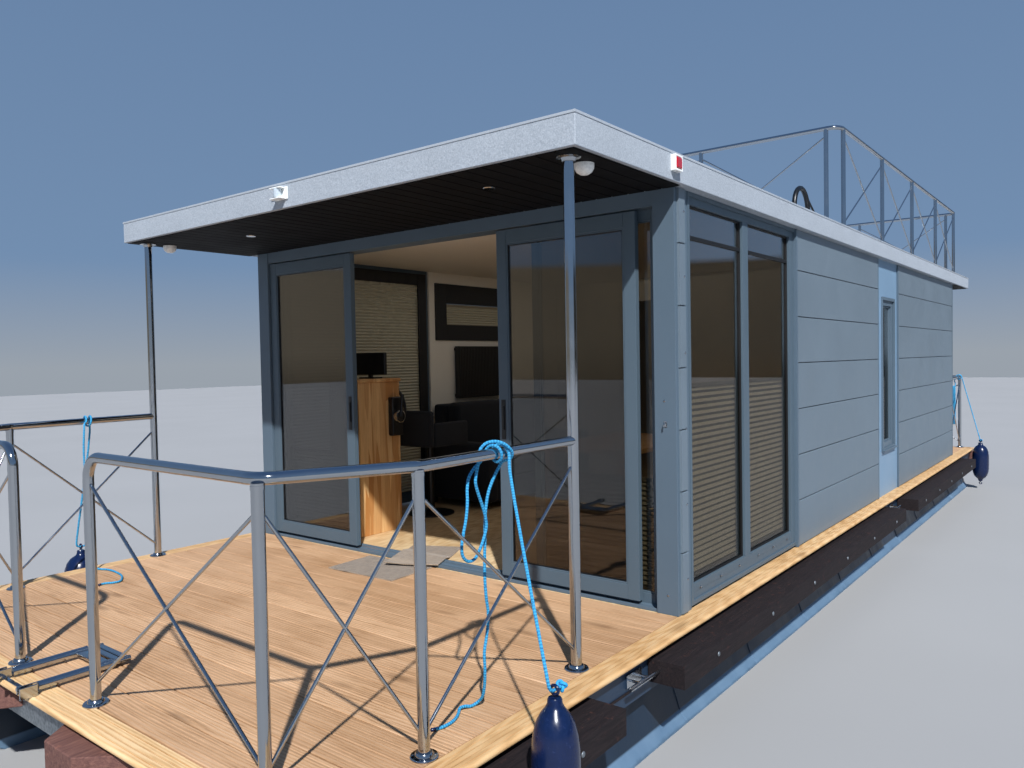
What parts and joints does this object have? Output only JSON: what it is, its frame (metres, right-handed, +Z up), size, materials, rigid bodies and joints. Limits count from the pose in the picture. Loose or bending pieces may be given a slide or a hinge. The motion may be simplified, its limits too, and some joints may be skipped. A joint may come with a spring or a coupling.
{
  "type": "houseboat",
  "caption": "Houseboat on twin pontoons with a panelled cabin, glazed sliding front, railed fore and aft decks, roof terrace and outboard motor.",
  "frame": {"origin": "centre of the bounding box at the pontoon bottoms", "axes": "+X towards the bow, +Y to port, +Z up"},
  "size_m": [12.47, 4.436, 4.274],
  "materials": {
    "hull_paint": "semi-gloss",
    "galvanised": "dull zinc",
    "timber": "stained, rough",
    "stainless": "polished",
    "deck_board": "oiled softwood",
    "oak_floor": "matt lacquer",
    "siding": "matt",
    "panel": "satin",
    "window_frame": "satin",
    "roof_paint": "granular, matt",
    "cream": "matt",
    "black_plastic": "satin",
    "upholstery": "woven",
    "white_plastic": "satin",
    "red_lens": "gloss",
    "green_lens": "gloss",
    "motor_paint": "gloss",
    "navy_plastic": "inflated vinyl, satin",
    "rope": "braided fibre",
    "mat": "woven, worn",
    "blind": "pleated cloth"
  },
  "bodies": {
    "hull": {"pontoon_port": "hull_paint", "pontoon_starboard": "hull_paint", "rub_rail_port": "timber", "rub_rail_starboard": "timber", "bow_block_port": "timber", "bow_block_starboard": "timber", "stern_timber_port": "timber", "stern_timber_starboard": "timber", "bow_rail_port": "stainless", "bow_rail_starboard": "stainless", "stern_rail_port": "stainless", "stern_rail_starboard": "stainless", "corner_window_port": "window_frame", "corner_window_starboard": "window_frame", "fixed_pane_port": "window_frame", "fixed_pane_starboard": "window_frame", "side_lamp_port": "red_lens", "side_lamp_starboard": "green_lens", "deck_frame": "galvanised", "fore_deck": "deck_board", "aft_deck": "deck_board", "cabin_floor": "oak_floor", "edge_boards": "deck_board", "roof": "roof_paint", "roof_rail": "stainless", "bow_lamp": "white_plastic", "front_frame": "window_frame", "port_wall_fore": "siding", "port_panel": "panel", "port_wall_aft": "siding", "starboard_wall": "siding", "aft_wall": "siding", "partition": "cream", "narrow_window": "window_frame", "high_window": "window_frame", "helm_console": "oak_floor", "sofa": "upholstery", "armchair": "upholstery", "table": "oak_floor", "galley": "cream", "ladder_bracket": "stainless", "motor_bracket": "galvanised", "mat_deck": "mat", "mat_sill": "mat", "corner_blind_port": "blind", "corner_blind_starboard": "blind", "fore_fender": "navy_plastic", "aft_fender": "navy_plastic", "fore_rope": "rope", "aft_rope": "rope", "aft_hank": "rope"},
    "leaf_port": {"door_leaf_port": "window_frame"},
    "leaf_starboard": {"door_leaf_starboard": "window_frame"},
    "rear_door": {"aft_door": "panel"},
    "wheel": {"helm_wheel": "black_plastic"},
    "ladder": {"ladder_upper": "stainless"},
    "ladder_extension": {"ladder_lower": "stainless"},
    "swivel": {"motor_swivel": "motor_paint"},
    "leg": {"motor_leg": "motor_paint"},
    "screw": {"propeller": "stainless"}
  },
  "joints": [
    {"name": "leaf_port_slide", "type": "slide", "parent": "hull", "child": "leaf_port", "axis": [0, -1, 0], "range_m": [-0.11, 0.634]},
    {"name": "leaf_starboard_slide", "type": "slide", "parent": "hull", "child": "leaf_starboard", "axis": [0, 1, 0], "range_m": [0, 0.747]},
    {"name": "aft_door_hinge", "type": "hinge", "parent": "hull", "child": "rear_door", "pos_m": [-4.523, 0.372, 1], "axis": [0, 0, -1], "range_deg": [0, 95]},
    {"name": "helm_turn", "type": "hinge", "parent": "hull", "child": "wheel", "pos_m": [2.81, -1.23, 1.965], "axis": [1, 0, 0], "range_deg": [-361, 361]},
    {"name": "ladder_fold", "type": "hinge", "parent": "hull", "child": "ladder", "pos_m": [6.189, -0.07, 0.998], "axis": [0, 1, 0], "range_deg": [0, 265]},
    {"name": "ladder_extend", "type": "slide", "parent": "ladder", "child": "ladder_extension", "axis": [-1, 0, 0], "range_m": [0, 0.2]},
    {"name": "motor_tilt", "type": "hinge", "parent": "hull", "child": "swivel", "pos_m": [-5.765, 0, 1.04], "axis": [0, 1, 0], "range_deg": [0, 60]},
    {"name": "motor_steer", "type": "hinge", "parent": "swivel", "child": "leg", "pos_m": [-5.885, 0, 0.8], "axis": [0, 0, 1], "range_deg": [-35, 35]},
    {"name": "propeller_spin", "type": "hinge", "parent": "leg", "child": "screw", "pos_m": [-6.16, 0, 0.15], "axis": [1, 0, 0], "continuous": true}
  ],
  "couplings": [
    {"joint": "helm_turn", "follows": "motor_steer", "ratio": 10.28}
  ]
}
